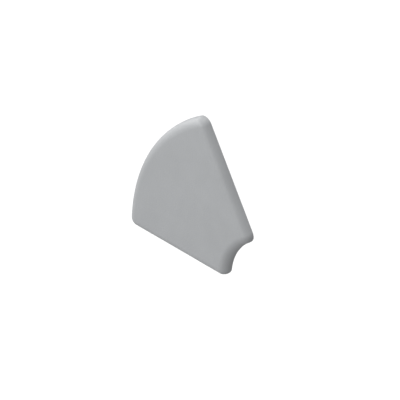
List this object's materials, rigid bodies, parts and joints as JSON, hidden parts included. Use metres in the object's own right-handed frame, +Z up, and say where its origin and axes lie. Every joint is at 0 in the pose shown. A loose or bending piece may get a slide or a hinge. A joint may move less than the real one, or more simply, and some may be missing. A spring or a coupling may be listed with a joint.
{
  "type": "profile end cap",
  "caption": "Moulded end cap for a sector-shaped slotted profile: flat face with a rounded edge, cored back, split press-in dowel and short locating pegs.",
  "frame": {"origin": "on the axis of the split dowel, in the plane of the seat rim, where the cap meets the cut end of the profile", "axes": "+Y into the profile, along the dowel, and -Y the way the flat face looks; +Z up, with the lower straight side along X and the notch at the +X end"},
  "size_m": [0.0551, 0.0135, 0.0572],
  "materials": {
    "moulded_plastic": "light grey, moulded, fine matt texture"
  },
  "bodies": {
    "root": {"end_cap": "moulded_plastic"}
  },
  "joints": []
}
